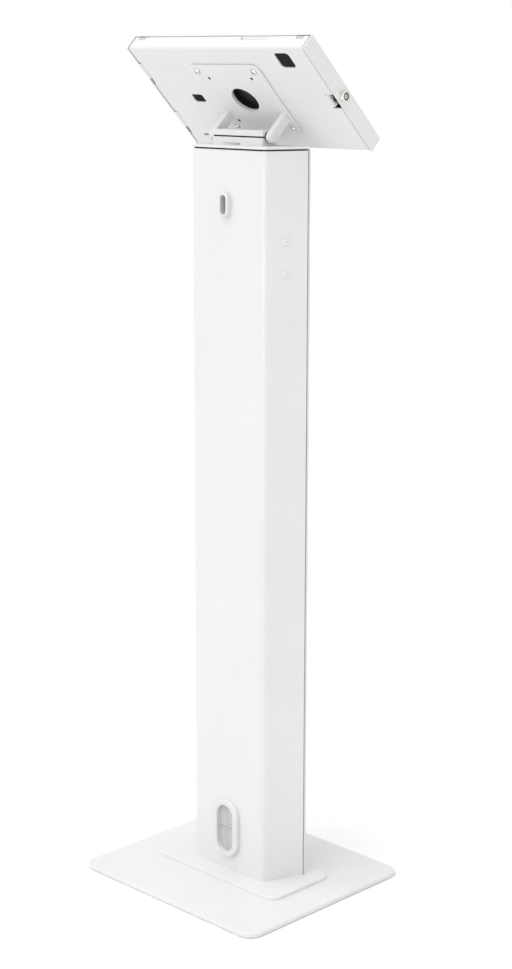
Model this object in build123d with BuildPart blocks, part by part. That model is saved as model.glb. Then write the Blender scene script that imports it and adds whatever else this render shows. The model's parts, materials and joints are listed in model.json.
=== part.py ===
"""Free-standing tablet kiosk: a folded steel column on a base plate, with a tilting lockable tablet enclosure.

Millimetres, +Z up. The origin is the centre of the footprint on the floor. The screen faces -Y and the back
faces +Y. Left and right are as seen from behind, so left is +X and right is -X.
"""
from build123d import *
import os
from math import atan2, cos, radians, sin, tan

os.makedirs("parts", exist_ok=True)

# ---------------------------------------------------------------- driving dimensions
# Floor pads and base plate
pad_height = 1.0
pad_diameter = 26.0
pad_inset = 24.0
base_width = 326.0
base_depth = 290.0
base_thickness = 5.0
base_corner = 20.0
base_bevel = 0.6

# Foot plate under the column
foot_width = 226.5
foot_depth = 112.4
foot_thickness = 4.5
foot_corner = 16.0
foot_centre_y = -2.7
foot_bevel = 0.8

# Column: a trapezoid in plan, wide at the front, folded from sheet
column_sheet = 2.0
column_rear_y = 25.5
column_rear_half = 64.3
column_front_y = -31.4
column_front_half = 86.5
rear_fold = 10.0
front_fold = 3.0
flange_opening_half = 66.0
column_height = 963.3

# Front panel that closes the column
panel_gap = 1.7
panel_depth = 3.6
panel_sheet = 2.0
panel_half = 87.2
panel_top_corner = 7.0
panel_bottom_corner = 3.0
panel_floor_gap = 0.6
panel_edge_round = 1.2
stud_x = 76.0
stud_levels = (120.0, 490.0, 860.0)
stud_shank = 5.0
stud_head = 9.0
stud_head_height = 2.0
stud_head_gap = 0.2
keyhole_entry = 10.0
keyhole_drop = 12.0
keyhole_clearance = 0.4

# Cap and the insert that carries it
cap_gap = 2.2
cap_thickness = 3.0
cap_overhang = 1.5
cap_round = 0.6
cap_panel_gap = 0.3
insert_gap = 0.3
insert_sheet = 2.0
insert_bottom = 790.0
insert_port_clearance = 4.0
insert_open_front = 16.0
side_screw_levels = (821.0, 862.0)
side_screw_head = 9.4
side_screw_head_height = 2.7
side_screw_round = 1.7
side_screw_socket = (1.15, 0.9)
side_screw_shank = 5.0

# Cable grommets on the rear face
upper_port_level = 906.0
upper_port_outer = (31.0, 16.0)
upper_port_wall = (28.0, 13.0)
upper_port_inner = (24.5, 9.5)
upper_port_projection = 7.0
lower_port_level = 70.0
lower_port_outer = (82.0, 46.0)
lower_port_wall = (74.0, 38.0)
lower_port_inner = (66.0, 30.0)
lower_port_projection = 6.0
grommet_lip = 2.0
grommet_round = 2.2
flap_thickness = 1.6
flap_slit = 0.6
flap_crease = 0.5

# Friction hinge on the cap
pivot_y = -4.0
pivot_above_cap = 10.8
shaft_radius = 4.0
shaft_clearance = 0.05
liner_radius = 5.0
block_half_length = 44.0
block_rear = 10.5
block_front = 14.5
block_slit = 2.0
block_height = 19.0
block_round = 0.8
relief_width = 30.0
relief_height = 3.0
relief_depth = (0.8, 4.5)
relief_x = 10.0
clamp_x = 22.0
clamp_row = 10.0
hinge_bolt_x = 36.0
hinge_bolt_rows = (-10.0, 7.2)

# Head frame: x runs to the right, y up the plate and z out of the back
head_tilt = 45.0
plate_above_pivot = 28.75
arm_reach = 34.0
plate_side = 120.0
plate_thickness = 2.5
plate_corner = 9.0
plate_bevel = 0.5
plate_undercut = 1.0
cable_hole = 40.0
vesa_small = 75.0
vesa_large = 100.0
vesa_hole = 4.5
arm_inner = 46.0
arm_thickness = 8.5
arm_width = 14.5
arm_round = 1.6
shaft_seat = 6.5
shaft_bevel = 0.5

# Enclosure, in the head frame
shell_sheet = 1.5
shell_half = 152.4
shell_top = 87.3
shell_bottom = -88.3
shell_depth = 19.0
shell_bend = 1.4
shell_fold = 3.2
cover_gap = 2.0
cover_sheet = 1.8
cover_side_gap = 2.0
cover_bend = 2.2
lip_depth = 5.0
lip_gap = 0.4
lip_half = 130.0
screen_window = (218.0, 138.0)
screen_window_corner = 6.0
window_bevel = 0.6

# Lock on the right flange
lock_y = -1.0
lock_z = -10.5
lock_body_radius = 5.5
lock_head_radius = 6.3
lock_head_length = 7.0
lock_head_round = 0.9
lock_bore_radius = 2.9
lock_recess_radius = 4.6
lock_recess_depth = 2.2
lock_seal_thickness = 1.2
lock_seal_gap = 0.3
keyhole_slot = (1.0, 4.0)
keyhole_depth = 6.0
lock_plug_gap = 0.05
cam_length = 7.5
cam_half_width = 3.2
cam_thickness = 1.6

# Tablet and its foam
foam_back = 5.6
tablet_half = 123.0
tablet_height = 166.0
tablet_body_thickness = 7.0
tablet_glass_thickness = 1.0
tablet_corner = 10.0
tablet_round = 2.5
glass_inset = 0.5
glass_bevel = 0.3
foam_cable_gap = 2.0
foam_nut_hole = 5.5

# ---------------------------------------------------------------- derived levels and planes
base_top = pad_height + base_thickness
foot_top = base_top + foot_thickness
column_top = foot_top + column_height
cap_bottom = column_top + cap_gap
cap_top = cap_bottom + cap_thickness
pivot_z = cap_top + pivot_above_cap
side_slope = atan2(column_front_half - column_rear_half, column_rear_y - column_front_y)
tilt = radians(head_tilt)
plate_y = pivot_y + plate_above_pivot * sin(tilt) - arm_reach * cos(tilt)
plate_z = pivot_z + plate_above_pivot * cos(tilt) + arm_reach * sin(tilt)

rear_face = Plane(origin=(0, column_rear_y, 0), x_dir=(-1, 0, 0), z_dir=(0, 1, 0))
head = Plane(origin=(0, plate_y, plate_z), x_dir=(-1, 0, 0), z_dir=(0, cos(tilt), -sin(tilt)))
head_side = Plane(origin=head.origin, x_dir=head.y_dir, z_dir=head.x_dir)
out_of_back = Axis(head.origin, head.z_dir)
pivot_plane = Plane(origin=(0, pivot_y, pivot_z), x_dir=(0, 1, 0), z_dir=(1, 0, 0))

shell_rear = -plate_thickness
shell_inside = shell_rear - shell_sheet
shell_rim = shell_rear - shell_depth
cover_inside = shell_rim - cover_gap
cover_front = cover_inside - cover_sheet
shell_centre = (shell_top + shell_bottom) / 2
shell_height = shell_top - shell_bottom
cover_inner_half = shell_half + cover_side_gap
cover_half = cover_inner_half + cover_sheet
tablet_back = shell_inside - foam_back
glass_back = tablet_back - tablet_body_thickness
glass_front = glass_back - tablet_glass_thickness


def trapezoid(inset):
    """The column's plan outline, moved inwards by inset, as a sketch on the XY plane."""
    rear = column_rear_y - inset
    front = column_front_y + inset
    rear_half = column_rear_half + inset * tan(side_slope) - inset / cos(side_slope)
    front_half = column_front_half - inset * tan(side_slope) - inset / cos(side_slope)
    with BuildSketch() as outline:
        with BuildLine():
            Polyline(
                (-rear_half, rear), (rear_half, rear), (front_half, front), (-front_half, front), close=True
            )
        make_face()
        corners = outline.vertices().sort_by(Axis.Y)
        fillet(corners[2:], max(rear_fold - inset, 1.0))
        fillet(corners[:2], max(front_fold - inset, 0.8))
    return outline.sketch


def side_plane(side):
    """The plane of a slanted column side, at its middle, facing outwards. Its x runs up."""
    middle_x = (column_rear_half + column_front_half) / 2
    middle_y = (column_rear_y + column_front_y) / 2
    normal = (side * cos(side_slope), sin(side_slope), 0)
    return Plane(origin=(side * middle_x, middle_y, 0), x_dir=(0, 0, 1), z_dir=normal)


def save(part, label):
    """Label a finished piece and write its STEP file."""
    part.label = label
    export_step(part, f"parts/{label}.step")


# ---------------------------------------------------------------- floor pads, base plate and foot
pad_spacing_x = base_width - 2 * pad_inset
pad_spacing_y = base_depth - 2 * pad_inset
bolt_spacing = (100.0, 30.0)
bolt_centre = (0.0, -3.0)
bolt_radius = 4.0
bolt_head_radius = 7.5
bolt_head_height = 3.5
nut_radius = 7.5
nut_height = 6.5
bolt_end = 1.5
bolt_socket = (2.9, 2.4)

with BuildPart() as floor_pads:
    with BuildSketch():
        with GridLocations(pad_spacing_x, pad_spacing_y, 2, 2):
            Circle(pad_diameter / 2)
    extrude(amount=pad_height)
save(floor_pads.part, "floor_pads")

with BuildPart() as base_plate:
    with BuildSketch(Plane.XY.offset(pad_height)):
        RectangleRounded(base_width, base_depth, base_corner)
    extrude(amount=base_thickness)
    chamfer(base_plate.faces().sort_by(Axis.Z)[-1].edges(), base_bevel)
    with Locations(Location((*bolt_centre, pad_height), (180, 0, 0))):
        with GridLocations(*bolt_spacing, 2, 2):
            CounterSinkHole(bolt_radius, bolt_head_radius, counter_sink_angle=90)
save(base_plate.part, "base_plate")

with BuildPart() as foot_plate:
    with BuildSketch(Plane.XY.offset(base_top)):
        with Locations((0, foot_centre_y)):
            RectangleRounded(foot_width, foot_depth, foot_corner)
        with Locations(bolt_centre):
            with GridLocations(*bolt_spacing, 2, 2):
                Circle(bolt_radius, mode=Mode.SUBTRACT)
    extrude(amount=foot_thickness)
    rim = foot_plate.faces().sort_by(Axis.Z)[-1].outer_wire().edges()
    chamfer(rim, foot_bevel)
save(foot_plate.part, "foot_plate")

with BuildPart() as base_bolts:
    with BuildSketch(Plane.XY.offset(pad_height)):
        with Locations(bolt_centre):
            with GridLocations(*bolt_spacing, 2, 2):
                Circle(bolt_radius)
    extrude(amount=foot_top - pad_height + nut_height + bolt_end)
    with Locations((*bolt_centre, pad_height)):
        with GridLocations(*bolt_spacing, 2, 2):
            Cone(bolt_head_radius, bolt_radius, bolt_head_height, align=(Align.CENTER, Align.CENTER, Align.MIN))
    with BuildSketch(Plane.XY.offset(pad_height)):
        with Locations(bolt_centre):
            with GridLocations(*bolt_spacing, 2, 2):
                RegularPolygon(bolt_socket[0], 6)
    extrude(amount=bolt_socket[1], mode=Mode.SUBTRACT)
save(base_bolts.part, "base_bolts")

with BuildPart() as base_nuts:
    with BuildSketch(Plane.XY.offset(foot_top)):
        with Locations(bolt_centre):
            with GridLocations(*bolt_spacing, 2, 2):
                RegularPolygon(nut_radius, 6)
                Circle(bolt_radius, mode=Mode.SUBTRACT)
    extrude(amount=nut_height)
save(base_nuts.part, "base_nuts")

# ---------------------------------------------------------------- column shell and front panel
with BuildPart() as column_shell:
    with BuildSketch(Plane.XY.offset(foot_top)):
        add(trapezoid(0))
        add(trapezoid(column_sheet), mode=Mode.SUBTRACT)
        with Locations((0, column_front_y)):
            Rectangle(2 * flange_opening_half, 4 * column_sheet, mode=Mode.SUBTRACT)
    extrude(amount=column_height)
    with BuildSketch(rear_face):
        with Locations((0, upper_port_level)):
            SlotOverall(*upper_port_wall, rotation=90)
        with Locations((0, lower_port_level)):
            SlotOverall(*lower_port_wall, rotation=90)
    extrude(amount=-2 * column_sheet, mode=Mode.SUBTRACT)
    for side in (-1, 1):
        with BuildSketch(side_plane(side)):
            with Locations(*[(level, 0) for level in side_screw_levels]):
                Circle(side_screw_shank / 2)
        extrude(amount=-2 * column_sheet, mode=Mode.SUBTRACT)
    with BuildSketch(Plane.XZ.offset(-column_front_y)):
        for x in (-stud_x, stud_x):
            for level in stud_levels:
                with Locations((x, level - keyhole_drop / 2)):
                    SlotCenterToCenter(keyhole_drop, stud_shank + keyhole_clearance, rotation=90)
                with Locations((x, level - keyhole_drop)):
                    Circle(keyhole_entry / 2)
    extrude(amount=-2 * column_sheet, mode=Mode.SUBTRACT)
save(column_shell.part, "column_shell")

panel_back_y = column_front_y - panel_gap
panel_front_y = panel_back_y - panel_depth
panel_bottom = foot_top + panel_floor_gap

with BuildPart() as front_panel:
    with BuildSketch(Plane.XZ.offset(-panel_back_y)) as panel_outline:
        with Locations((0, (panel_bottom + cap_top) / 2)):
            Rectangle(2 * panel_half, cap_top - panel_bottom)
        corners = panel_outline.vertices().sort_by(Axis.Y)
        fillet(corners[2:], panel_top_corner)
        fillet(corners[:2], panel_bottom_corner)
    extrude(amount=panel_depth)
    fillet(front_panel.faces().sort_by(Axis.Y)[0].edges(), panel_edge_round)
    offset(amount=-panel_sheet, openings=front_panel.faces().sort_by(Axis.Y)[-1])
save(front_panel.part, "front_panel")

stud_head_y = column_front_y + column_sheet + stud_head_gap
with BuildPart() as panel_studs:
    stud_places = [(x, level) for x in (-stud_x, stud_x) for level in stud_levels]
    with BuildSketch(Plane.XZ.offset(-stud_head_y)):
        with Locations(*stud_places):
            Circle(stud_shank / 2)
    extrude(amount=stud_head_y - panel_front_y - panel_sheet)
    with BuildSketch(Plane.XZ.offset(-stud_head_y)):
        with Locations(*stud_places):
            Circle(stud_head / 2)
    extrude(amount=-stud_head_height)
save(panel_studs.part, "panel_studs")

# ---------------------------------------------------------------- head insert, its screws and the cap
hinge_bolt_places = [(x, pivot_y + y) for x in (-hinge_bolt_x, hinge_bolt_x) for y in hinge_bolt_rows]
hinge_bolt_radius = 2.5
insert_inset = column_sheet + insert_gap

with BuildPart() as head_insert:
    with BuildSketch(Plane.XY.offset(insert_bottom)):
        add(trapezoid(insert_inset))
        add(trapezoid(insert_inset + insert_sheet), mode=Mode.SUBTRACT)
        with Locations((0, column_front_y)):
            Rectangle(3 * column_front_half, 2 * insert_open_front, mode=Mode.SUBTRACT)
    extrude(amount=cap_bottom - insert_sheet - insert_bottom)
    with BuildSketch(Plane.XY.offset(cap_bottom - insert_sheet)):
        add(trapezoid(insert_inset))
        with Locations(*hinge_bolt_places):
            Circle(hinge_bolt_radius, mode=Mode.SUBTRACT)
    extrude(amount=insert_sheet)
    with BuildSketch(rear_face):
        with Locations((0, upper_port_level)):
            SlotOverall(*(size + 2 * insert_port_clearance for size in upper_port_outer), rotation=90)
    extrude(amount=-6 * column_sheet, mode=Mode.SUBTRACT)
    for side in (-1, 1):
        with BuildSketch(side_plane(side)):
            with Locations(*[(level, 0) for level in side_screw_levels]):
                Circle(side_screw_shank / 2)
        extrude(amount=-4 * column_sheet, mode=Mode.SUBTRACT)
save(head_insert.part, "head_insert")

insert_inside = insert_inset + insert_sheet
nut_length = 5.0
side_nut_radius = 4.6
side_screw_end = 1.0
with BuildPart() as side_screws:
    for side in (-1, 1):
        places = [(level, 0) for level in side_screw_levels]
        with BuildSketch(side_plane(side)):
            with Locations(*places):
                Circle(side_screw_shank / 2)
        extrude(amount=-(insert_inside + nut_length + side_screw_end))
        with BuildSketch(side_plane(side)):
            with Locations(*places):
                Circle(side_screw_head / 2)
        extrude(amount=side_screw_head_height)
        outwards = Axis((0, 0, 0), side_plane(side).z_dir)
        head_faces = side_screws.faces().sort_by(outwards)[-len(side_screw_levels) :]
        fillet([edge for face in head_faces for edge in face.edges()], side_screw_round)
        with BuildSketch(side_plane(side).offset(side_screw_head_height)):
            with Locations(*places):
                RegularPolygon(side_screw_socket[0], 6)
        extrude(amount=-side_screw_socket[1], mode=Mode.SUBTRACT)
save(side_screws.part, "side_screws")

with BuildPart() as insert_nuts:
    for side in (-1, 1):
        with BuildSketch(side_plane(side).offset(-insert_inside)):
            with Locations(*[(level, 0) for level in side_screw_levels]):
                RegularPolygon(side_nut_radius, 6)
                Circle(side_screw_shank / 2, mode=Mode.SUBTRACT)
        extrude(amount=-nut_length)
save(insert_nuts.part, "insert_nuts")

with BuildPart() as top_cap:
    with BuildSketch(Plane.XY.offset(cap_bottom)):
        add(trapezoid(-cap_overhang))
        with Locations((0, panel_back_y + cap_panel_gap - base_depth / 2)):
            Rectangle(base_width, base_depth, mode=Mode.SUBTRACT)
        with Locations(*hinge_bolt_places):
            Circle(hinge_bolt_radius, mode=Mode.SUBTRACT)
    extrude(amount=cap_thickness)
    fillet(top_cap.faces().sort_by(Axis.Z)[-1].outer_wire().edges(), cap_round)
save(top_cap.part, "top_cap")

# ---------------------------------------------------------------- cable grommets
def grommet(level, outer, wall, inner, projection):
    """A stadium ring through the rear face: a raised rim outside, a sleeve in the wall and a lip inside."""
    with BuildPart() as ring:
        with BuildSketch(rear_face):
            with Locations((0, level)):
                SlotOverall(*outer, rotation=90)
        extrude(amount=projection)
        fillet(ring.faces().sort_by(Axis.Y)[-1].edges(), grommet_round)
        with BuildSketch(rear_face):
            with Locations((0, level)):
                SlotOverall(*wall, rotation=90)
        extrude(amount=-column_sheet)
        with BuildSketch(rear_face.offset(-column_sheet)):
            with Locations((0, level)):
                SlotOverall(*outer, rotation=90)
        extrude(amount=-grommet_lip)
        with BuildSketch(rear_face.offset(projection)):
            with Locations((0, level)):
                SlotOverall(*inner, rotation=90)
        extrude(amount=-(projection + column_sheet + grommet_lip), mode=Mode.SUBTRACT)
    return ring.part


upper_port = grommet(
    upper_port_level, upper_port_outer, upper_port_wall, upper_port_inner, upper_port_projection
)
save(upper_port, "upper_grommet")
lower_port = grommet(
    lower_port_level, lower_port_outer, lower_port_wall, lower_port_inner, lower_port_projection
)
save(lower_port, "lower_grommet")

with BuildPart() as lower_grommet_flaps:
    with BuildSketch(rear_face.offset(-flap_thickness / 2)):
        with Locations((0, lower_port_level)):
            SlotOverall(*lower_port_inner, rotation=90)
            Rectangle(lower_port_outer[1], flap_slit, mode=Mode.SUBTRACT)
    extrude(amount=flap_thickness)
    with BuildSketch(rear_face.offset(flap_thickness / 2)):
        with Locations((0, lower_port_level)):
            Rectangle(flap_crease, lower_port_outer[0])
    extrude(amount=-flap_crease, mode=Mode.SUBTRACT)
save(lower_grommet_flaps.part, "lower_grommet_flaps")

# ---------------------------------------------------------------- friction hinge
block_length = 2 * block_half_length
slit_bottom = pivot_above_cap - block_slit / 2
slit_top = pivot_above_cap + block_slit / 2
clamp_places = [(x, pivot_y - clamp_row) for x in (-clamp_x, 0.0, clamp_x)]
clamp_radius = 1.5
clamp_head_radius = 2.4
clamp_head_height = 2.0
clamp_sink = 2.4
clamp_depth = 7.5
clamp_clearance = 0.1
clamp_socket = (1.3, 1.2)
clamp_spare = 0.5
hinge_bolt_reach = 6.0
hinge_bolt_spare = 0.5
hinge_bolt_head = (4.2, 4.0)
hinge_bolt_socket = (2.3, 2.4)


def block_half(low, high, inner_radius):
    """A block across the cap from low to high above it, with the shaft's bore cut through at the pivot."""
    with BuildPart() as half:
        with BuildSketch(pivot_plane.offset(-block_half_length)):
            with Locations(((block_rear - block_front) / 2, (low + high) / 2 - pivot_above_cap)):
                Rectangle(block_rear + block_front, high - low)
        extrude(amount=block_length)
        fillet(half.edges().filter_by(Axis.Z), block_round)
        with BuildSketch(pivot_plane.offset(-block_half_length)):
            Circle(inner_radius)
        extrude(amount=block_length, mode=Mode.SUBTRACT)
    return half.part


with BuildPart() as hinge_block_lower:
    add(block_half(0, slit_bottom, liner_radius))
    with BuildSketch(Plane.XY.offset(cap_top)):
        with Locations(*hinge_bolt_places):
            Circle(hinge_bolt_radius)
    extrude(amount=hinge_bolt_reach + hinge_bolt_spare, mode=Mode.SUBTRACT)
    with BuildSketch(Plane.XY.offset(cap_top + slit_bottom)):
        with Locations(*clamp_places):
            Circle(clamp_radius)
    extrude(amount=-clamp_depth, mode=Mode.SUBTRACT)
    with BuildSketch(Plane.XY.offset(cap_top)):
        with BuildLine():
            left, right = relief_x + relief_width / 2, relief_x - relief_width / 2
            rear_y = pivot_y + block_rear
            Polyline(
                (left, rear_y), (left, rear_y - relief_depth[0]), (right, rear_y - relief_depth[1]), (right, rear_y),
                close=True,
            )
        make_face()
    extrude(amount=relief_height, mode=Mode.SUBTRACT)
save(hinge_block_lower.part, "hinge_block_lower")

with BuildPart() as hinge_block_upper:
    add(block_half(slit_top, block_height, liner_radius))
    fillet(hinge_block_upper.faces().sort_by(Axis.Z)[-1].edges(), block_round * 0.7)
    with BuildSketch(Plane.XY.offset(cap_top + block_height)):
        with Locations(*clamp_places):
            Circle(clamp_radius)
    extrude(amount=-block_height, mode=Mode.SUBTRACT)
    with BuildSketch(Plane.XY.offset(cap_top + block_height)):
        with Locations(*clamp_places):
            Circle(clamp_head_radius)
    extrude(amount=-clamp_sink, mode=Mode.SUBTRACT)
save(hinge_block_upper.part, "hinge_block_upper")

with BuildPart() as clamp_screws:
    with BuildSketch(Plane.XY.offset(cap_top + block_height - clamp_sink)):
        with Locations(*clamp_places):
            Circle(clamp_head_radius - clamp_clearance)
    extrude(amount=clamp_head_height)
    with BuildSketch(Plane.XY.offset(cap_top + block_height - clamp_sink)):
        with Locations(*clamp_places):
            Circle(clamp_radius)
    extrude(amount=-(block_height - clamp_sink - slit_bottom + clamp_depth - clamp_spare))
    with BuildSketch(Plane.XY.offset(cap_top + block_height - clamp_sink + clamp_head_height)):
        with Locations(*clamp_places):
            RegularPolygon(clamp_socket[0], 6)
    extrude(amount=-clamp_socket[1], mode=Mode.SUBTRACT)
save(clamp_screws.part, "clamp_screws")

with BuildPart() as hinge_bolts:
    bolt_under = cap_bottom - insert_sheet
    with BuildSketch(Plane.XY.offset(bolt_under)):
        with Locations(*hinge_bolt_places):
            Circle(hinge_bolt_radius)
    extrude(amount=cap_top + hinge_bolt_reach - bolt_under)
    with BuildSketch(Plane.XY.offset(bolt_under)):
        with Locations(*hinge_bolt_places):
            Circle(hinge_bolt_head[0])
    extrude(amount=-hinge_bolt_head[1])
    with BuildSketch(Plane.XY.offset(bolt_under - hinge_bolt_head[1])):
        with Locations(*hinge_bolt_places):
            RegularPolygon(hinge_bolt_socket[0], 6)
    extrude(amount=hinge_bolt_socket[1], mode=Mode.SUBTRACT)
save(hinge_bolts.part, "hinge_bolts")

# The friction bush is split along its front only, where the clamp screws squeeze the two halves of the block.
with BuildPart() as shaft_bush:
    with BuildSketch(pivot_plane.offset(-block_half_length)):
        Circle(liner_radius)
        Circle(shaft_radius + shaft_clearance, mode=Mode.SUBTRACT)
        with Locations((-liner_radius, 0)):
            Rectangle(2 * liner_radius, block_slit, mode=Mode.SUBTRACT)
    extrude(amount=block_length)
save(shaft_bush.part, "shaft_bush")

washer_radius = 6.6
washer_thickness = 1.9
washer_gap = 0.05
with BuildPart() as side_washers:
    for x in (-block_half_length - washer_gap - washer_thickness, block_half_length + washer_gap):
        with BuildSketch(pivot_plane.offset(x)):
            Circle(washer_radius)
            Circle(shaft_radius + shaft_clearance, mode=Mode.SUBTRACT)
        extrude(amount=washer_thickness)
save(side_washers.part, "side_washers")

with BuildPart() as pivot_shaft:
    shaft_half = arm_inner + shaft_seat
    with BuildSketch(pivot_plane.offset(-shaft_half)):
        Circle(shaft_radius)
    extrude(amount=2 * shaft_half)
    chamfer(pivot_shaft.edges().filter_by(GeomType.CIRCLE), shaft_bevel)
save(pivot_shaft.part, "pivot_shaft")

# ---------------------------------------------------------------- tilting arms and plate
arm_y = -plate_above_pivot
arm_screw_pitch = 7.2
arm_screw_radius = 1.5
arm_screw_head = 2.9
arm_screw_depth = 11.0
set_screw_radius = 2.0
set_screw_socket = 1.0
set_screw_sink = 0.4
arm_screw_spare = 0.5
arm_screw_socket = (1.1, 1.2)
arm_middle = arm_inner + arm_thickness / 2


def arm(near, far, seat_from):
    """A round-ended bar standing on the plate between two distances to the right, with a blind shaft seat."""
    with BuildPart() as bar:
        with BuildSketch(head_side.offset(near)):
            with Locations((arm_y, arm_reach / 2)):
                Rectangle(arm_width, arm_reach)
            with Locations((arm_y, arm_reach)):
                Circle(arm_width / 2)
        extrude(amount=far - near)
        plate_end = bar.faces().sort_by(out_of_back)[0].edges()
        fillet([edge for edge in bar.edges() if edge not in plate_end], arm_round)
        with BuildSketch(head_side.offset(seat_from)):
            with Locations((arm_y, arm_reach)):
                Circle(shaft_radius)
        extrude(amount=shaft_seat, mode=Mode.SUBTRACT)
        with BuildSketch(head):
            with Locations(((near + far) / 2, arm_y)):
                with GridLocations(0, arm_screw_pitch, 1, 2):
                    Circle(arm_screw_radius)
        extrude(amount=arm_screw_depth, mode=Mode.SUBTRACT)
        with BuildSketch(Plane(origin=head.origin, x_dir=head.x_dir, z_dir=-head.y_dir).offset(-arm_y)):
            with Locations(((near + far) / 2, arm_reach)):
                Circle(set_screw_radius)
        extrude(amount=arm_width, mode=Mode.SUBTRACT)
    return bar.part


save(arm(arm_inner, arm_inner + arm_thickness, arm_inner), "right_arm")
save(arm(-arm_inner - arm_thickness, -arm_inner, -arm_inner - shaft_seat), "left_arm")

with BuildPart() as arm_set_screws:
    under_arm = Plane(origin=head.origin, x_dir=head.x_dir, z_dir=-head.y_dir)
    with BuildSketch(under_arm.offset(-arm_y + shaft_radius)):
        with Locations((-arm_middle, arm_reach), (arm_middle, arm_reach)):
            Circle(set_screw_radius)
            RegularPolygon(set_screw_socket, 6, mode=Mode.SUBTRACT)
    extrude(amount=arm_width / 2 - shaft_radius - set_screw_sink)
save(arm_set_screws.part, "arm_set_screws")

arm_screw_places = [
    (x, arm_y + y) for x in (-arm_middle, arm_middle) for y in (-arm_screw_pitch / 2, arm_screw_pitch / 2)
]
with BuildPart() as arm_screws:
    with BuildSketch(head.offset(-plate_thickness)):
        with Locations(*arm_screw_places):
            Circle(arm_screw_radius)
    extrude(amount=plate_thickness + arm_screw_depth - arm_screw_spare)
    for place in arm_screw_places:
        with BuildSketch(head.offset(-plate_thickness)):
            with Locations(place):
                Circle(arm_screw_head)
        extrude(amount=arm_screw_head - arm_screw_radius, taper=45)
    with BuildSketch(head.offset(-plate_thickness)):
        with Locations(*arm_screw_places):
            RegularPolygon(arm_screw_socket[0], 6)
    extrude(amount=arm_screw_socket[1], mode=Mode.SUBTRACT)
save(arm_screws.part, "arm_screws")

with BuildPart() as vesa_plate:
    with BuildSketch(head.offset(-plate_thickness)):
        RectangleRounded(plate_side, plate_side, plate_corner)
        Circle(cable_hole / 2, mode=Mode.SUBTRACT)
        for pattern in (vesa_small, vesa_large):
            with GridLocations(pattern, pattern, 2, 2):
                Circle(vesa_hole / 2, mode=Mode.SUBTRACT)
        with Locations(*arm_screw_places):
            Circle(arm_screw_radius, mode=Mode.SUBTRACT)
    extrude(amount=plate_thickness)
    for place in arm_screw_places:
        with BuildSketch(head.offset(-plate_thickness)):
            with Locations(place):
                Circle(arm_screw_head)
        extrude(amount=arm_screw_head - arm_screw_radius, taper=45, mode=Mode.SUBTRACT)
    outer_rim = vesa_plate.faces().sort_by(out_of_back)[-1].outer_wire().edges()
    chamfer(outer_rim, plate_bevel)
    under_rim = vesa_plate.faces().sort_by(out_of_back)[0].outer_wire().edges()
    chamfer(under_rim, plate_undercut)
save(vesa_plate.part, "vesa_plate")

vesa_screw_radius = 2.0
vesa_head_radius = 4.5
vesa_head_height = 2.6
vesa_head_round = 1.8
vesa_socket = (1.3, 1.4)
vesa_nut_radius = 4.0
vesa_nut_height = 3.2
vesa_thread_end = 0.4
with BuildPart() as vesa_screws:
    with BuildSketch(head):
        with GridLocations(vesa_large, vesa_large, 2, 2):
            Circle(vesa_screw_radius)
    extrude(amount=shell_inside - vesa_nut_height - vesa_thread_end)
    with BuildSketch(head):
        with GridLocations(vesa_large, vesa_large, 2, 2):
            Circle(vesa_head_radius)
    extrude(amount=vesa_head_height)
    head_faces = vesa_screws.faces().sort_by(out_of_back)[-4:]
    fillet([edge for face in head_faces for edge in face.edges()], vesa_head_round)
    with BuildSketch(head.offset(vesa_head_height)):
        with GridLocations(vesa_large, vesa_large, 2, 2):
            RegularPolygon(vesa_socket[0], 6)
    extrude(amount=-vesa_socket[1], mode=Mode.SUBTRACT)
save(vesa_screws.part, "vesa_screws")

with BuildPart() as vesa_nuts:
    with BuildSketch(head.offset(shell_inside)):
        with GridLocations(vesa_large, vesa_large, 2, 2):
            RegularPolygon(vesa_nut_radius, 6)
            Circle(vesa_screw_radius, mode=Mode.SUBTRACT)
    extrude(amount=-vesa_nut_height)
save(vesa_nuts.part, "vesa_nuts")

# ---------------------------------------------------------------- enclosure rear shell
port_window = (24.0, 24.0)
port_window_corner = 5.0
port_window_place = (112.0, 66.2)
camera_window = (20.0, 14.0)
camera_window_corner = 3.5
camera_window_place = (-87.0, -1.2)
small_slot = (9.0, 3.4)
small_slot_place = (-123.5, -69.2)
rim_notch_place = 65.0
rim_notch_width = 48.0
rim_notch_depth = 5.2
vent_centre = 138.5
vent_pitch = 4.3
vent_width = 2.0
vent_depth = 4.6
catch_low = -13.7
catch_high = 10.0
catch_bend_x = 139.5
catch_cut_x = 144.9
catch_relief = 1.4
catch_bend_radius = 3.5
catch_root = 0.5
catch_ledge_low = 5.2
catch_ledge_z = -15.3
catch_ledge_end = 150.0
hook_notch_x = 148.8
hook_notch_depth = 6.5
hook_notches = ((24.0, 62.0), (-67.0, -26.0))
hook_tabs = ((33.0, 59.0), (-55.0, -28.0))
hook_tab_x = 149.8

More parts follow.
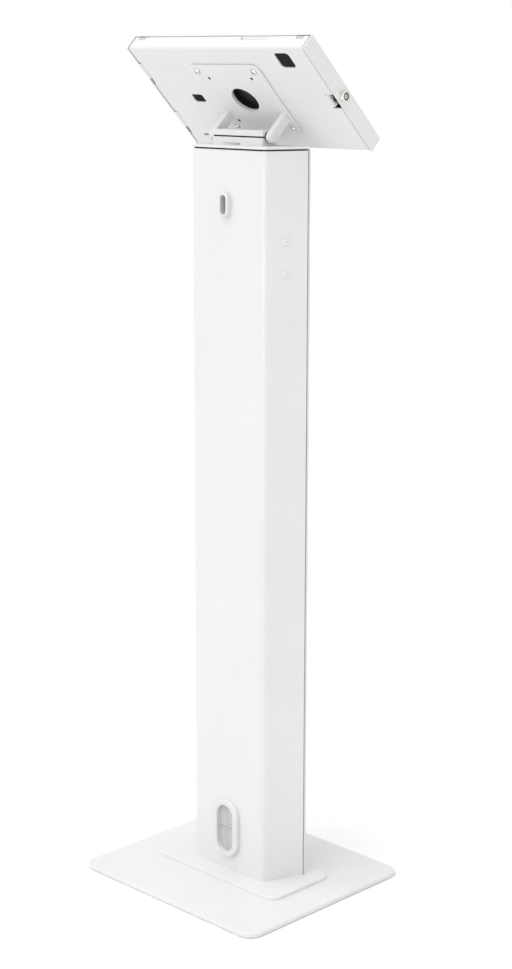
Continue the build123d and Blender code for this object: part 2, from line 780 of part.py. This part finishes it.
with BuildPart() as rear_shell:
    with BuildSketch(head_side.offset(-shell_half)) as profile:
        with Locations((shell_centre, shell_rear - shell_depth / 2)):
            Rectangle(shell_height, shell_depth)
        fillet(profile.vertices().sort_by(Axis.Y)[-2:], shell_fold)
    extrude(amount=2 * shell_half)
    rim_edges = rear_shell.faces().sort_by(out_of_back)[0].edges()
    end_edges = [edge for face in rear_shell.faces().filter_by(Axis.X) for edge in face.edges()]
    fillet([edge for edge in end_edges if edge not in rim_edges], shell_bend)
    offset(amount=-shell_sheet, openings=rear_shell.faces().sort_by(out_of_back)[0])
    with BuildSketch(head.offset(shell_rear)):
        Circle(cable_hole / 2)
        for pattern in (vesa_small, vesa_large):
            with GridLocations(pattern, pattern, 2, 2):
                Circle(vesa_hole / 2)
        with Locations(port_window_place):
            RectangleRounded(*port_window, port_window_corner)
        with Locations(camera_window_place):
            RectangleRounded(*camera_window, camera_window_corner)
        with Locations(small_slot_place):
            SlotOverall(*small_slot)
    extrude(amount=-2 * shell_sheet, mode=Mode.SUBTRACT)
    # rim: the notch over the charging socket and the vents near both corners
    with BuildSketch(head.offset(shell_rim)):
        with Locations((rim_notch_place, shell_top)):
            Rectangle(rim_notch_width, 4 * shell_sheet)
    extrude(amount=rim_notch_depth, mode=Mode.SUBTRACT)
    with BuildSketch(head.offset(shell_rim)):
        with Locations((-vent_centre, shell_top), (vent_centre, shell_top)):
            with GridLocations(vent_pitch, 0, 3, 1):
                Rectangle(vent_width, 4 * shell_sheet)
    extrude(amount=vent_depth, mode=Mode.SUBTRACT)
    # right edge: the opening for the lock, with relief cuts above and below the bent catch
    with BuildSketch(head.offset(shell_rear)):
        with Locations(((catch_cut_x + cover_half) / 2, (catch_low + catch_high) / 2)):
            Rectangle(cover_half - catch_cut_x, catch_high - catch_low)
    extrude(amount=-shell_depth, mode=Mode.SUBTRACT)
    with BuildSketch(head.offset(shell_rear)):
        with Locations(((catch_bend_x + catch_cut_x) / 2, (catch_low + catch_high) / 2)):
            Rectangle(catch_cut_x - catch_bend_x, catch_high - catch_low)
    extrude(amount=-2 * shell_sheet, mode=Mode.SUBTRACT)
    # left edge: the openings for the cover's hooks
    for low, high in hook_notches:
        with BuildSketch(head.offset(shell_rear)):
            with Locations((-(hook_notch_x + cover_half) / 2, (low + high) / 2)):
                Rectangle(cover_half - hook_notch_x, high - low)
        extrude(amount=-hook_notch_depth, mode=Mode.SUBTRACT)
    # the catch: bent inwards, then outwards into a ledge above the lock
    tab_low = catch_low + catch_relief
    tab_high = catch_high - catch_relief
    catch_plane = Plane(origin=head.origin, x_dir=head.x_dir, z_dir=-head.y_dir)
    with BuildSketch(catch_plane.offset(-tab_high)):
        with BuildLine():
            bend_end = catch_bend_x + catch_bend_radius
            mid_sheet = shell_rear - shell_sheet / 2
            Line((catch_bend_x - catch_root, mid_sheet), (catch_bend_x, mid_sheet))
            bend = TangentArc(
                (catch_bend_x, mid_sheet), (bend_end, mid_sheet - catch_bend_radius), tangent=(1, 0)
            )
            Line(bend @ 1, (bend_end, catch_ledge_z - shell_sheet / 2))
            offset(amount=shell_sheet / 2, kind=Kind.INTERSECTION)
        make_face()
    extrude(amount=tab_high - tab_low)
    with BuildSketch(catch_plane.offset(-tab_high)):
        ledge_start = bend_end - shell_sheet / 2
        with Locations(((ledge_start + catch_ledge_end) / 2, catch_ledge_z - shell_sheet / 2)):
            Rectangle(catch_ledge_end - ledge_start, shell_sheet)
    extrude(amount=tab_high - catch_ledge_low)
save(rear_shell.part, "rear_shell")

# ---------------------------------------------------------------- foam and tablet
tablet_width = 2 * tablet_half
with BuildPart() as foam_backing:
    with BuildSketch(head.offset(shell_inside)):
        with Locations((0, shell_centre)):
            RectangleRounded(tablet_width, tablet_height, tablet_corner)
        Circle(cable_hole / 2 + foam_cable_gap, mode=Mode.SUBTRACT)
        with GridLocations(vesa_large, vesa_large, 2, 2):
            Circle(foam_nut_hole, mode=Mode.SUBTRACT)
    extrude(amount=-foam_back)
save(foam_backing.part, "foam_backing")

with BuildPart() as tablet_body:
    with BuildSketch(head.offset(tablet_back)):
        with Locations((0, shell_centre)):
            RectangleRounded(tablet_width, tablet_height, tablet_corner)
    extrude(amount=-tablet_body_thickness)
    fillet(tablet_body.faces().sort_by(out_of_back)[-1].edges(), tablet_round)
save(tablet_body.part, "tablet_body")

with BuildPart() as tablet_glass:
    with BuildSketch(head.offset(glass_back)):
        with Locations((0, shell_centre)):
            RectangleRounded(
                tablet_width - 2 * glass_inset, tablet_height - 2 * glass_inset, tablet_corner - glass_inset
            )
    extrude(amount=-tablet_glass_thickness)
    chamfer(tablet_glass.faces().sort_by(out_of_back)[0].edges(), glass_bevel)
save(tablet_glass.part, "tablet_glass")

spacer_reach = (23.0, 15.0)
spacer_height = 34.0
spacer_pitch = 100.0
spacer_gap = 0.2
spacer_corner = 2.0
with BuildPart() as tablet_spacers:
    for side, reach in zip((-1, 1), spacer_reach):
        with BuildSketch(head.offset(shell_inside)):
            with Locations((side * (tablet_half + spacer_gap + reach / 2), shell_centre)):
                with GridLocations(0, spacer_pitch, 1, 2):
                    RectangleRounded(reach, spacer_height, spacer_corner)
        extrude(amount=-(foam_back + tablet_body_thickness))
save(tablet_spacers.part, "tablet_spacers")

# ---------------------------------------------------------------- front cover with its side flanges
with BuildPart() as front_cover:
    with BuildSketch(head.offset(shell_rear)):
        with Locations((0, shell_centre)):
            Rectangle(2 * cover_half, shell_height)
    extrude(amount=cover_front - shell_rear)
    front_edges = front_cover.faces().sort_by(out_of_back)[0].edges()
    fillet([edge for edge in front_edges if edge.length < 2 * cover_inner_half], cover_bend)
    with BuildSketch(head.offset(shell_rear)):
        with Locations((0, shell_centre)):
            Rectangle(2 * cover_inner_half, 2 * shell_height)
    extrude(amount=cover_inside - shell_rear, mode=Mode.SUBTRACT)
    with BuildSketch(head.offset(cover_front)):
        with Locations((0, shell_centre)):
            RectangleRounded(*screen_window, screen_window_corner)
    extrude(amount=2 * cover_sheet, mode=Mode.SUBTRACT)
    window_edges = front_cover.faces().sort_by(out_of_back)[0].inner_wires()[0].edges()
    chamfer(window_edges, window_bevel)
    # lips inside the top and bottom walls of the rear shell
    for edge_y, inwards in ((shell_top, -1), (shell_bottom, 1)):
        with BuildSketch(head.offset(cover_inside)):
            with Locations((0, edge_y + inwards * (1.5 * shell_sheet + lip_gap))):
                Rectangle(2 * lip_half, shell_sheet)
        extrude(amount=lip_depth)
    # hook tabs on the left flange
    for low, high in hook_tabs:
        with BuildSketch(head.offset(shell_rear)):
            with Locations((-(hook_tab_x + cover_half) / 2, (low + high) / 2)):
                Rectangle(cover_half - hook_tab_x, high - low)
        extrude(amount=-cover_sheet)
    with BuildSketch(head_side.offset(cover_half)):
        with Locations((lock_y, lock_z)):
            Circle(lock_body_radius)
    extrude(amount=-2 * cover_sheet, mode=Mode.SUBTRACT)
save(front_cover.part, "front_cover")

gasket_front_gap = 0.3
gasket_inset = (3.0, 2.0)
gasket_window_gap = 1.5
with BuildPart() as front_gasket:
    with BuildSketch(head.offset(cover_inside)):
        with Locations((0, shell_centre)):
            RectangleRounded(
                tablet_width - 2 * gasket_inset[0], tablet_height - 2 * gasket_inset[1], tablet_corner
            )
            gasket_window = [size + 2 * gasket_window_gap for size in screen_window]
            RectangleRounded(*gasket_window, screen_window_corner, mode=Mode.SUBTRACT)
    extrude(amount=glass_front - gasket_front_gap - cover_inside)
save(front_gasket.part, "front_gasket")

# ---------------------------------------------------------------- cam lock
lock_nut_depth = 2.5
lock_nut_radius = 7.5
barrel_beyond_nut = 2.5
cam_clearance = 0.1
plug_sink = 0.5
barrel_end = cover_inner_half - lock_nut_depth - barrel_beyond_nut
cam_face = barrel_end - cam_clearance
barrel_face = cover_half + lock_head_length
with BuildPart() as lock_barrel:
    with BuildSketch(head_side.offset(barrel_end)):
        with Locations((lock_y, lock_z)):
            Circle(lock_body_radius)
    extrude(amount=cover_half - barrel_end)
    with BuildSketch(head_side.offset(cover_half)):
        with Locations((lock_y, lock_z)):
            Circle(lock_head_radius)
    extrude(amount=lock_head_length)
    fillet(lock_barrel.faces().sort_by(Axis.X)[0].edges(), lock_head_round)
    with BuildSketch(head_side.offset(barrel_end)):
        with Locations((lock_y, lock_z)):
            Circle(lock_bore_radius + lock_plug_gap)
    extrude(amount=barrel_face - barrel_end, mode=Mode.SUBTRACT)
    with BuildSketch(head_side.offset(barrel_face)):
        with Locations((lock_y, lock_z)):
            Circle(lock_recess_radius)
    extrude(amount=-lock_recess_depth, mode=Mode.SUBTRACT)
save(lock_barrel.part, "lock_barrel")

with BuildPart() as lock_seal:
    with BuildSketch(head_side.offset(barrel_face - lock_recess_depth)):
        with Locations((lock_y, lock_z)):
            Circle(lock_recess_radius)
            Circle(lock_bore_radius + lock_seal_gap, mode=Mode.SUBTRACT)
    extrude(amount=lock_seal_thickness)
save(lock_seal.part, "lock_seal")

with BuildPart() as lock_nut:
    with BuildSketch(head_side.offset(cover_inner_half)):
        with Locations((lock_y, lock_z)):
            RegularPolygon(lock_nut_radius, 6)
            Circle(lock_body_radius, mode=Mode.SUBTRACT)
    extrude(amount=-lock_nut_depth)
save(lock_nut.part, "lock_nut")

with BuildPart() as lock_plug:
    plug_face = barrel_face - plug_sink
    with BuildSketch(head_side.offset(cam_face)):
        with Locations((lock_y, lock_z)):
            Circle(lock_bore_radius)
    extrude(amount=plug_face - cam_face)
    with BuildSketch(head_side.offset(plug_face)):
        with Locations((lock_y, lock_z)):
            Rectangle(*keyhole_slot)
    extrude(amount=-keyhole_depth, mode=Mode.SUBTRACT)
save(lock_plug.part, "lock_plug")

with BuildPart() as lock_cam:
    with BuildSketch(head_side.offset(cam_face)):
        with Locations((lock_y, lock_z)):
            Circle(cam_half_width)
        with Locations((lock_y, lock_z + (cam_length - cam_half_width) / 2)):
            Rectangle(2 * cam_half_width, cam_length - cam_half_width)
        with Locations((lock_y, lock_z + cam_length - cam_half_width)):
            Circle(cam_half_width)
    extrude(amount=-cam_thickness)
save(lock_cam.part, "lock_cam")

cam_screw_head = (2.4, 1.2)
cam_screw_socket = 1.0
with BuildPart() as cam_screw:
    with BuildSketch(head_side.offset(cam_face - cam_thickness)):
        with Locations((lock_y, lock_z)):
            Circle(cam_screw_head[0])
            RegularPolygon(cam_screw_socket, 6, mode=Mode.SUBTRACT)
    extrude(amount=-cam_screw_head[1])
save(cam_screw.part, "cam_screw")
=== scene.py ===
"""Looks of the tablet kiosk: its finishes and thread linings, with the floor, light and camera."""
import json
from math import cos, radians, sin, tau

import bmesh
import bpy
from mathutils import Matrix, Vector


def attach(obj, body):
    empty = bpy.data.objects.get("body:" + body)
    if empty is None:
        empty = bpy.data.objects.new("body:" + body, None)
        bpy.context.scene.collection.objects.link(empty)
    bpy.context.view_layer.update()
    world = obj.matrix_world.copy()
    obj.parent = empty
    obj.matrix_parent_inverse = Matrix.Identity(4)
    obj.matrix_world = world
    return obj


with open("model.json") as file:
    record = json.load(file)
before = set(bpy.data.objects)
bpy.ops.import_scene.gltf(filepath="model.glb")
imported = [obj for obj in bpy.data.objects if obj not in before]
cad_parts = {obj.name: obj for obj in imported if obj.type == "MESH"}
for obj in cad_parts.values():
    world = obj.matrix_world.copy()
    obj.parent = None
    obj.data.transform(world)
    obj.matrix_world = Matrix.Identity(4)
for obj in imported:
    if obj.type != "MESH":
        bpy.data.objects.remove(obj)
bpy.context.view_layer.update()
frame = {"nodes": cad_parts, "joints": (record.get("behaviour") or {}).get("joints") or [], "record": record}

MM = 0.001
NODES = frame["nodes"]
RECORD = frame["record"]

# ---------------------------------------------------------------- the tilted head's own frame
mounts = {mount["name"]: mount for mount in RECORD["mounts"]}
joints = {joint["name"]: joint for joint in frame["joints"]}
plate_centre = Vector(mounts["vesa_75"]["pos_m"])
out_of_back = Vector(mounts["vesa_75"]["axis"]).normalized()
to_right = Vector((-1, 0, 0))
up_plate = out_of_back.cross(to_right)
lock_centre = Vector(joints["lock_turn"]["pos_m"])


def matrix_from(origin, x_dir, y_dir, z_dir):
    """A placing matrix from an origin and three directions."""
    turn = Matrix((x_dir, y_dir, z_dir)).transposed().to_4x4()
    return Matrix.Translation(origin) @ turn


HEAD = matrix_from(plate_centre, to_right, up_plate, out_of_back)


# ---------------------------------------------------------------- shader building blocks
def new_material(name):
    """An empty node material with its principled shader, and the tree."""
    material = bpy.data.materials.new(name)
    material.use_nodes = True
    tree = material.node_tree
    shader = tree.nodes["Principled BSDF"]
    return material, tree, shader


def places(tree):
    """The piece's own coordinates, in metres."""
    return tree.nodes.new("ShaderNodeTexCoord").outputs["Object"]


def mapped(tree, origin, rotation=(0, 0, 0), scale=(1, 1, 1)):
    """The piece's coordinates measured from an origin, turned and scaled."""
    shift = tree.nodes.new("ShaderNodeVectorMath")
    shift.operation = "SUBTRACT"
    shift.inputs[1].default_value = origin
    tree.links.new(places(tree), shift.inputs[0])
    turn = tree.nodes.new("ShaderNodeMapping")
    turn.inputs["Rotation"].default_value = rotation
    turn.inputs["Scale"].default_value = scale
    tree.links.new(shift.outputs[0], turn.inputs["Vector"])
    return turn.outputs["Vector"]


def noise(tree, scale, detail=2.0, roughness=0.5, vector=None):
    """Smooth noise with a number of features per metre."""
    node = tree.nodes.new("ShaderNodeTexNoise")
    node.inputs["Scale"].default_value = scale
    node.inputs["Detail"].default_value = detail
    node.inputs["Roughness"].default_value = roughness
    tree.links.new(vector or places(tree), node.inputs["Vector"])
    return node.outputs["Fac"]


def cells(tree, scale):
    """Rounded cells, as in closed-cell foam."""
    node = tree.nodes.new("ShaderNodeTexVoronoi")
    node.inputs["Scale"].default_value = scale
    tree.links.new(places(tree), node.inputs["Vector"])
    return node.outputs["Distance"]


USUAL_LOW, USUAL_HIGH = 0.3, 0.7  # the range that smooth noise mostly keeps to


def spread(tree, value, low, high):
    """A noise value stretched to run from low to high over its usual range."""
    node = tree.nodes.new("ShaderNodeMapRange")
    node.inputs["From Min"].default_value = USUAL_LOW
    node.inputs["From Max"].default_value = USUAL_HIGH
    node.inputs["To Min"].default_value = low
    node.inputs["To Max"].default_value = high
    tree.links.new(value, node.inputs["Value"])
    return node.outputs["Result"]


def blend_colours(tree, value, first, second):
    """A colour that goes from first to second over the value's usual range."""
    ramp = tree.nodes.new("ShaderNodeValToRGB")
    stops = ((USUAL_LOW, first), (USUAL_HIGH, second))
    for stop, (position, colour) in zip(ramp.color_ramp.elements, stops):
        stop.position = position
        stop.color = (*colour, 1)
    tree.links.new(value, ramp.inputs["Fac"])
    return ramp.outputs["Color"]


def tint_with(tree, shader, value, first, second):
    """Colours the surface from first to second by a noise value."""
    tree.links.new(blend_colours(tree, value, first, second), shader.inputs["Base Color"])


def roughen_with(tree, shader, value, low, high):
    """Varies the surface's roughness from low to high by a noise value."""
    tree.links.new(spread(tree, value, low, high), shader.inputs["Roughness"])


def add_bump(tree, shader, height, depth, strength=1.0, below=None):
    """Bump of a real depth in metres. A coarser bump may lie below it."""
    bump = tree.nodes.new("ShaderNodeBump")
    bump.inputs["Distance"].default_value = depth
    bump.inputs["Strength"].default_value = strength
    tree.links.new(height, bump.inputs["Height"])
    if below is not None:
        tree.links.new(below, bump.inputs["Normal"])
    tree.links.new(bump.outputs["Normal"], shader.inputs["Normal"])
    return bump.outputs["Normal"]


# ---------------------------------------------------------------- finishes
def powder_coat():
    """Satin white powder coat: orange peel, a fine grain and slight cloudiness."""
    material, tree, shader = new_material("white_powder_coat")
    cloud = noise(tree, scale=9, detail=3)
    tint_with(tree, shader, cloud, first=(0.708, 0.711, 0.716), second=(0.732, 0.734, 0.738))
    roughen_with(tree, shader, noise(tree, scale=60), low=0.40, high=0.50)
    peel = add_bump(tree, shader, noise(tree, scale=520, detail=1), depth=0.06 * MM, strength=0.5)
    add_bump(tree, shader, noise(tree, scale=2600, detail=1), depth=0.02 * MM, strength=0.35, below=peel)
    return material


def zinc():
    """Bright zinc plating, with faint cloudy passivation and fine drawing marks."""
    material, tree, shader = new_material("zinc_steel")
    shader.inputs["Metallic"].default_value = 1.0
    cloud = noise(tree, scale=180, detail=3)
    tint_with(tree, shader, cloud, first=(0.56, 0.57, 0.60), second=(0.70, 0.70, 0.69))
    roughen_with(tree, shader, noise(tree, scale=420), low=0.26, high=0.42)
    add_bump(tree, shader, noise(tree, scale=3200, detail=2), depth=0.01 * MM, strength=0.4)
    return material


def black_paint_as_painted_shade():
    """Thin black paint on steel, with a fine texture and slightly worn gloss. Its black is painted shade: it
    darkens the parts seen through gaps and holes.
    """
    material, tree, shader = new_material("black_steel")
    cloud = noise(tree, scale=35, detail=3)
    # near-black tint: painted shade for the gaps and holes that this finish lines
    tint_with(tree, shader, cloud, first=(0.010, 0.010, 0.011), second=(0.020, 0.020, 0.021))
    roughen_with(tree, shader, noise(tree, scale=300), low=0.45, high=0.62)
    add_bump(tree, shader, noise(tree, scale=1800, detail=2), depth=0.02 * MM, strength=0.5)
    return material


def nickel():
    """Polished nickel with turning marks round the lock's axis."""
    material, tree, shader = new_material("nickel")
    shader.inputs["Metallic"].default_value = 1.0
    from_axis = mapped(tree, lock_centre)
    rings = tree.nodes.new("ShaderNodeTexWave")
    rings.wave_type = "RINGS"
    rings.rings_direction = "X"
    rings.inputs["Scale"].default_value = 1100
    rings.inputs["Distortion"].default_value = 0.6
    tree.links.new(from_axis, rings.inputs["Vector"])
    cloud = noise(tree, scale=300)
    tint_with(tree, shader, cloud, first=(0.74, 0.71, 0.66), second=(0.84, 0.81, 0.77))
    roughen_with(tree, shader, noise(tree, scale=900), low=0.12, high=0.20)
    add_bump(tree, shader, rings.outputs["Fac"], depth=0.006 * MM, strength=0.5)
    return material


def moulded_plastic(name, light, dark, roughness, grain):
    """Injection-moulded plastic or rubber: an even colour, a matt grain and slight sink marks."""
    material, tree, shader = new_material(name)
    tint_with(tree, shader, noise(tree, scale=40), first=dark, second=light)
    roughen_with(tree, shader, noise(tree, scale=150), low=roughness - 0.04, high=roughness + 0.06)
    sink = add_bump(tree, shader, noise(tree, scale=70, detail=0), depth=0.1 * MM, strength=0.3)
    add_bump(tree, shader, noise(tree, scale=grain, detail=1), depth=0.03 * MM, strength=0.5, below=sink)
    return material


def foam():
    """Black closed-cell foam with open cells on its cut faces."""
    material, tree, shader = new_material("black_foam")
    cell_scale = 1400
    tint_with(
        tree, shader, cells(tree, cell_scale), first=(0.004, 0.004, 0.004), second=(0.024, 0.024, 0.025)
    )
    shader.inputs["Roughness"].default_value = 0.95
    shader.inputs["Specular IOR Level"].default_value = 0.15
    add_bump(tree, shader, cells(tree, cell_scale), depth=0.4 * MM, strength=0.9)
    return material


def anodised():
    """Dark bead-blasted and anodised aluminium of the tablet's case."""
    material, tree, shader = new_material("tablet_case")
    shader.inputs["Metallic"].default_value = 0.7
    cloud = noise(tree, scale=25)
    tint_with(tree, shader, cloud, first=(0.020, 0.020, 0.022), second=(0.032, 0.032, 0.034))
    roughen_with(tree, shader, noise(tree, scale=500), low=0.38, high=0.48)
    add_bump(tree, shader, noise(tree, scale=4200, detail=1), depth=0.01 * MM, strength=0.5)
    return material


def display_glass():
    """Black display glass with faint wiping marks, which show only in reflections."""
    material, tree, shader = new_material("screen_glass")
    cloud = noise(tree, scale=12)
    tint_with(tree, shader, cloud, first=(0.004, 0.004, 0.005), second=(0.007, 0.007, 0.009))
    along_wipes = mapped(tree, plate_centre, rotation=(0, 0, 0.6), scale=(1, 0.15, 0.15))
    roughen_with(tree, shader, noise(tree, scale=30, detail=5, vector=along_wipes), low=0.03, high=0.10)
    shader.inputs["Coat Weight"].default_value = 0.6
    shader.inputs["Coat Roughness"].default_value = 0.02
    return material


FINISHES = {
    "white_powder_coat": powder_coat(),
    "zinc_steel": zinc(),
    # black steel stands in for the shade inside gaps and holes (painted shade)
    "black_steel": black_paint_as_painted_shade(),
    "nickel": nickel(),
    "black_foam": foam(),
    "tablet_case": anodised(),
    "screen_glass": display_glass(),
}
MOULDED = {  # lighter tint, darker tint, roughness and grain of each moulded plastic or rubber
    "white_plastic": ((0.70, 0.70, 0.70), (0.66, 0.66, 0.66), 0.38, 2400),
    "grey_rubber": ((0.52, 0.52, 0.525), (0.46, 0.46, 0.465), 0.62, 1500),
    "black_rubber": ((0.026, 0.026, 0.026), (0.016, 0.016, 0.016), 0.68, 1500),
    "bush_plastic": ((0.022, 0.022, 0.022), (0.014, 0.014, 0.014), 0.42, 2800),
}
for name, (light, dark, roughness, grain) in MOULDED.items():
    FINISHES[name] = moulded_plastic(name, light, dark, roughness, grain)

for part in RECORD["subparts"]:
    for slot in NODES[part["node"]].material_slots:
        slot.material = FINISHES[part["material_slot"]]


# ---------------------------------------------------------------- thread linings of the plate's free holes, black as painted shade
LINING_OUTER = 2.22 * MM
LINING_INNER = 1.62 * MM
THREAD_PITCH = 0.7 * MM
THREAD_DEPTH = 0.35 * MM
LINING_TOP = -0.35 * MM
LINING_BOTTOM = -3.9 * MM
LINING_SIDES = 40
LINING_STEPS = 44


def ring(form, radius_at, height):
    """One ring of vertices; its radius may depend on the angle."""
    row = []
    for side in range(LINING_SIDES):
        angle = tau * side / LINING_SIDES
        radius = radius_at(angle)
        row.append(form.verts.new((radius * cos(angle), radius * sin(angle), height)))
    return row


def join_rows(form, rows):
    """Faces between neighbouring rings, and from the last ring back to the first."""
    for first, second in zip(rows, rows[1:] + rows[:1]):
        for side in range(LINING_SIDES):
            after = (side + 1) % LINING_SIDES
            form.faces.new((first[side], first[after], second[after], second[side]))


def painted_shade_thread_lining(name, x, y):
    """A black sleeve with an inner thread, in one free hole of the plate. Its black is painted shade for the
    dark inside of the hole.
    """
    form = bmesh.new()
    rows = []
    for step in range(LINING_STEPS + 1):
        height = LINING_TOP + (LINING_BOTTOM - LINING_TOP) * step / LINING_STEPS

        def threaded(angle, height=height):
            phase = (height / THREAD_PITCH + angle / tau) % 1
            return LINING_INNER + THREAD_DEPTH * abs(2 * phase - 1)

        rows.append(ring(form, threaded, height))
    for height in (LINING_BOTTOM, LINING_TOP):
        rows.append(ring(form, lambda angle: LINING_OUTER, height))
    join_rows(form, rows)
    bmesh.ops.recalc_face_normals(form, faces=form.faces)
    mesh = bpy.data.meshes.new(name)
    form.to_mesh(mesh)
    form.free()
    # black sleeve: painted shade inside the hole
    mesh.materials.append(FINISHES["black_steel"])
    lining = bpy.data.objects.new(name, mesh)
    lining.matrix_world = HEAD @ Matrix.Translation((x, y, 0))
    bpy.context.scene.collection.objects.link(lining)
    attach(lining, "head")


def free_holes():
    """Linings in the four holes of the small square pattern."""
    half_side = mounts["vesa_75"]["dims"]["pcd_mm"] * MM / (2 * 2**0.5)
    corners = [(x, y) for x in (-half_side, half_side) for y in (-half_side, half_side)]
    for number, (x, y) in enumerate(corners, 1):
        painted_shade_thread_lining(f"painted_shade_thread_lining_{number}", x, y)


free_holes()


# ---------------------------------------------------------------- floor, light and camera
FLOOR_REACH = 30.0


def pale_floor():
    """A wide matt white floor that meets the white surroundings without a line."""
    mesh = bpy.data.meshes.new("floor")
    form = bmesh.new()
    bmesh.ops.create_circle(form, cap_ends=True, radius=FLOOR_REACH, segments=64)
    form.to_mesh(mesh)
    form.free()
    floor = bpy.data.objects.new("floor", mesh)
    bpy.context.scene.collection.objects.link(floor)
    material, tree, shader = new_material("floor_white")
    tint_with(tree, shader, noise(tree, scale=3), first=(0.89, 0.89, 0.89), second=(0.91, 0.91, 0.91))
    shader.inputs["Roughness"].default_value = 0.9
    shader.inputs["Specular IOR Level"].default_value = 0.1
    mesh.materials.append(material)


def arithmetic(tree, operation, *values):
    """One step of shader arithmetic on numbers or outputs."""
    node = tree.nodes.new("ShaderNodeMath")
    node.operation = operation
    for socket, value in zip(node.inputs, values):
        if isinstance(value, (int, float)):
            socket.default_value = value
        else:
            tree.links.new(value, socket)
    return node.outputs[0]


WORLD_LEVEL = 0.80
WORLD_FROM_BEHIND = 0.14
WORLD_FROM_ABOVE = 0.36


def surroundings():
    """White surroundings that light the kiosk more from above and behind than from the front."""
    world = bpy.data.worlds.new("studio")
    world.use_nodes = True
    tree = world.node_tree
    background = tree.nodes["Background"]
    background.inputs["Color"].default_value = (1, 1, 1, 1)
    direction = tree.nodes.new("ShaderNodeSeparateXYZ")
    tree.links.new(tree.nodes.new("ShaderNodeTexCoord").outputs["Generated"], direction.inputs[0])
    behind = arithmetic(tree, "MULTIPLY_ADD", direction.outputs["Y"], WORLD_FROM_BEHIND, WORLD_LEVEL)
    upwards = arithmetic(tree, "MAXIMUM", direction.outputs["Z"], 0.0)
    level = arithmetic(tree, "MULTIPLY_ADD", upwards, WORLD_FROM_ABOVE, behind)
    seen = tree.nodes.new("ShaderNodeLightPath").outputs["Is Camera Ray"]
    tree.links.new(arithmetic(tree, "MAXIMUM", level, seen), background.inputs["Strength"])
    bpy.context.scene.world = world


def add_light(data, place, towards_light):
    """A light at a place. It shines against the direction that leads to it."""
    light = bpy.data.objects.new(data.name, data)
    light.location = place
    light.rotation_euler = Vector(towards_light).to_track_quat("Z", "Y").to_euler()
    bpy.context.scene.collection.objects.link(light)
    return light


BROAD_STRENGTH = 0.9
BROAD_SPREAD = radians(60)
BROAD_PLACE = (0, 0, 3)
TOWARDS_BROAD = (0.15, 0.52, 0.84)
STRIP_POWER = 45
STRIP_SIZE = (0.3, 2.4)
STRIP_PLACE = (-1.2, 2.2, 1.2)
TOWARDS_STRIP = (-0.47, 0.86, 0)


def studio_light():
    """A broad soft light from above and behind, and a tall strip that only shows as a highlight."""
    broad = bpy.data.lights.new("broad_light", "SUN")
    broad.energy = BROAD_STRENGTH
    broad.angle = BROAD_SPREAD
    add_light(broad, BROAD_PLACE, TOWARDS_BROAD)
    strip = bpy.data.lights.new("strip_light", "AREA")
    strip.shape = "RECTANGLE"
    strip.size, strip.size_y = STRIP_SIZE
    strip.energy = STRIP_POWER
    highlight = add_light(strip, STRIP_PLACE, TOWARDS_STRIP)
    highlight.visible_camera = False
    highlight.visible_diffuse = False


CAMERA_PLACE = (-1.71983, 1.70777, 1.08609)
CAMERA_YAW = radians(44.738)
CAMERA_PITCH = radians(12.671)
CAMERA_ROLL = radians(0.104)
FOCAL_LENGTH = 70.53
SENSOR_WIDTH = 36


def camera():
    """The view from behind and to the right, level with the kiosk's head and looking slightly down."""
    level = Vector((sin(CAMERA_YAW), -cos(CAMERA_YAW), 0)) * cos(CAMERA_PITCH)
    towards = level - Vector((0, 0, sin(CAMERA_PITCH)))
    lens = bpy.data.cameras.new("camera")
    lens.sensor_width = SENSOR_WIDTH
    lens.lens = FOCAL_LENGTH
    eye = bpy.data.objects.new("camera", lens)
    eye.rotation_mode = "QUATERNION"
    roll = Matrix.Rotation(CAMERA_ROLL, 3, "Z").to_quaternion()
    eye.rotation_quaternion = towards.to_track_quat("-Z", "Y") @ roll
    eye.location = CAMERA_PLACE
    bpy.context.scene.collection.objects.link(eye)
    bpy.context.scene.camera = eye


pale_floor()
surroundings()
studio_light()
camera()
bpy.context.scene.view_settings.view_transform = "Standard"
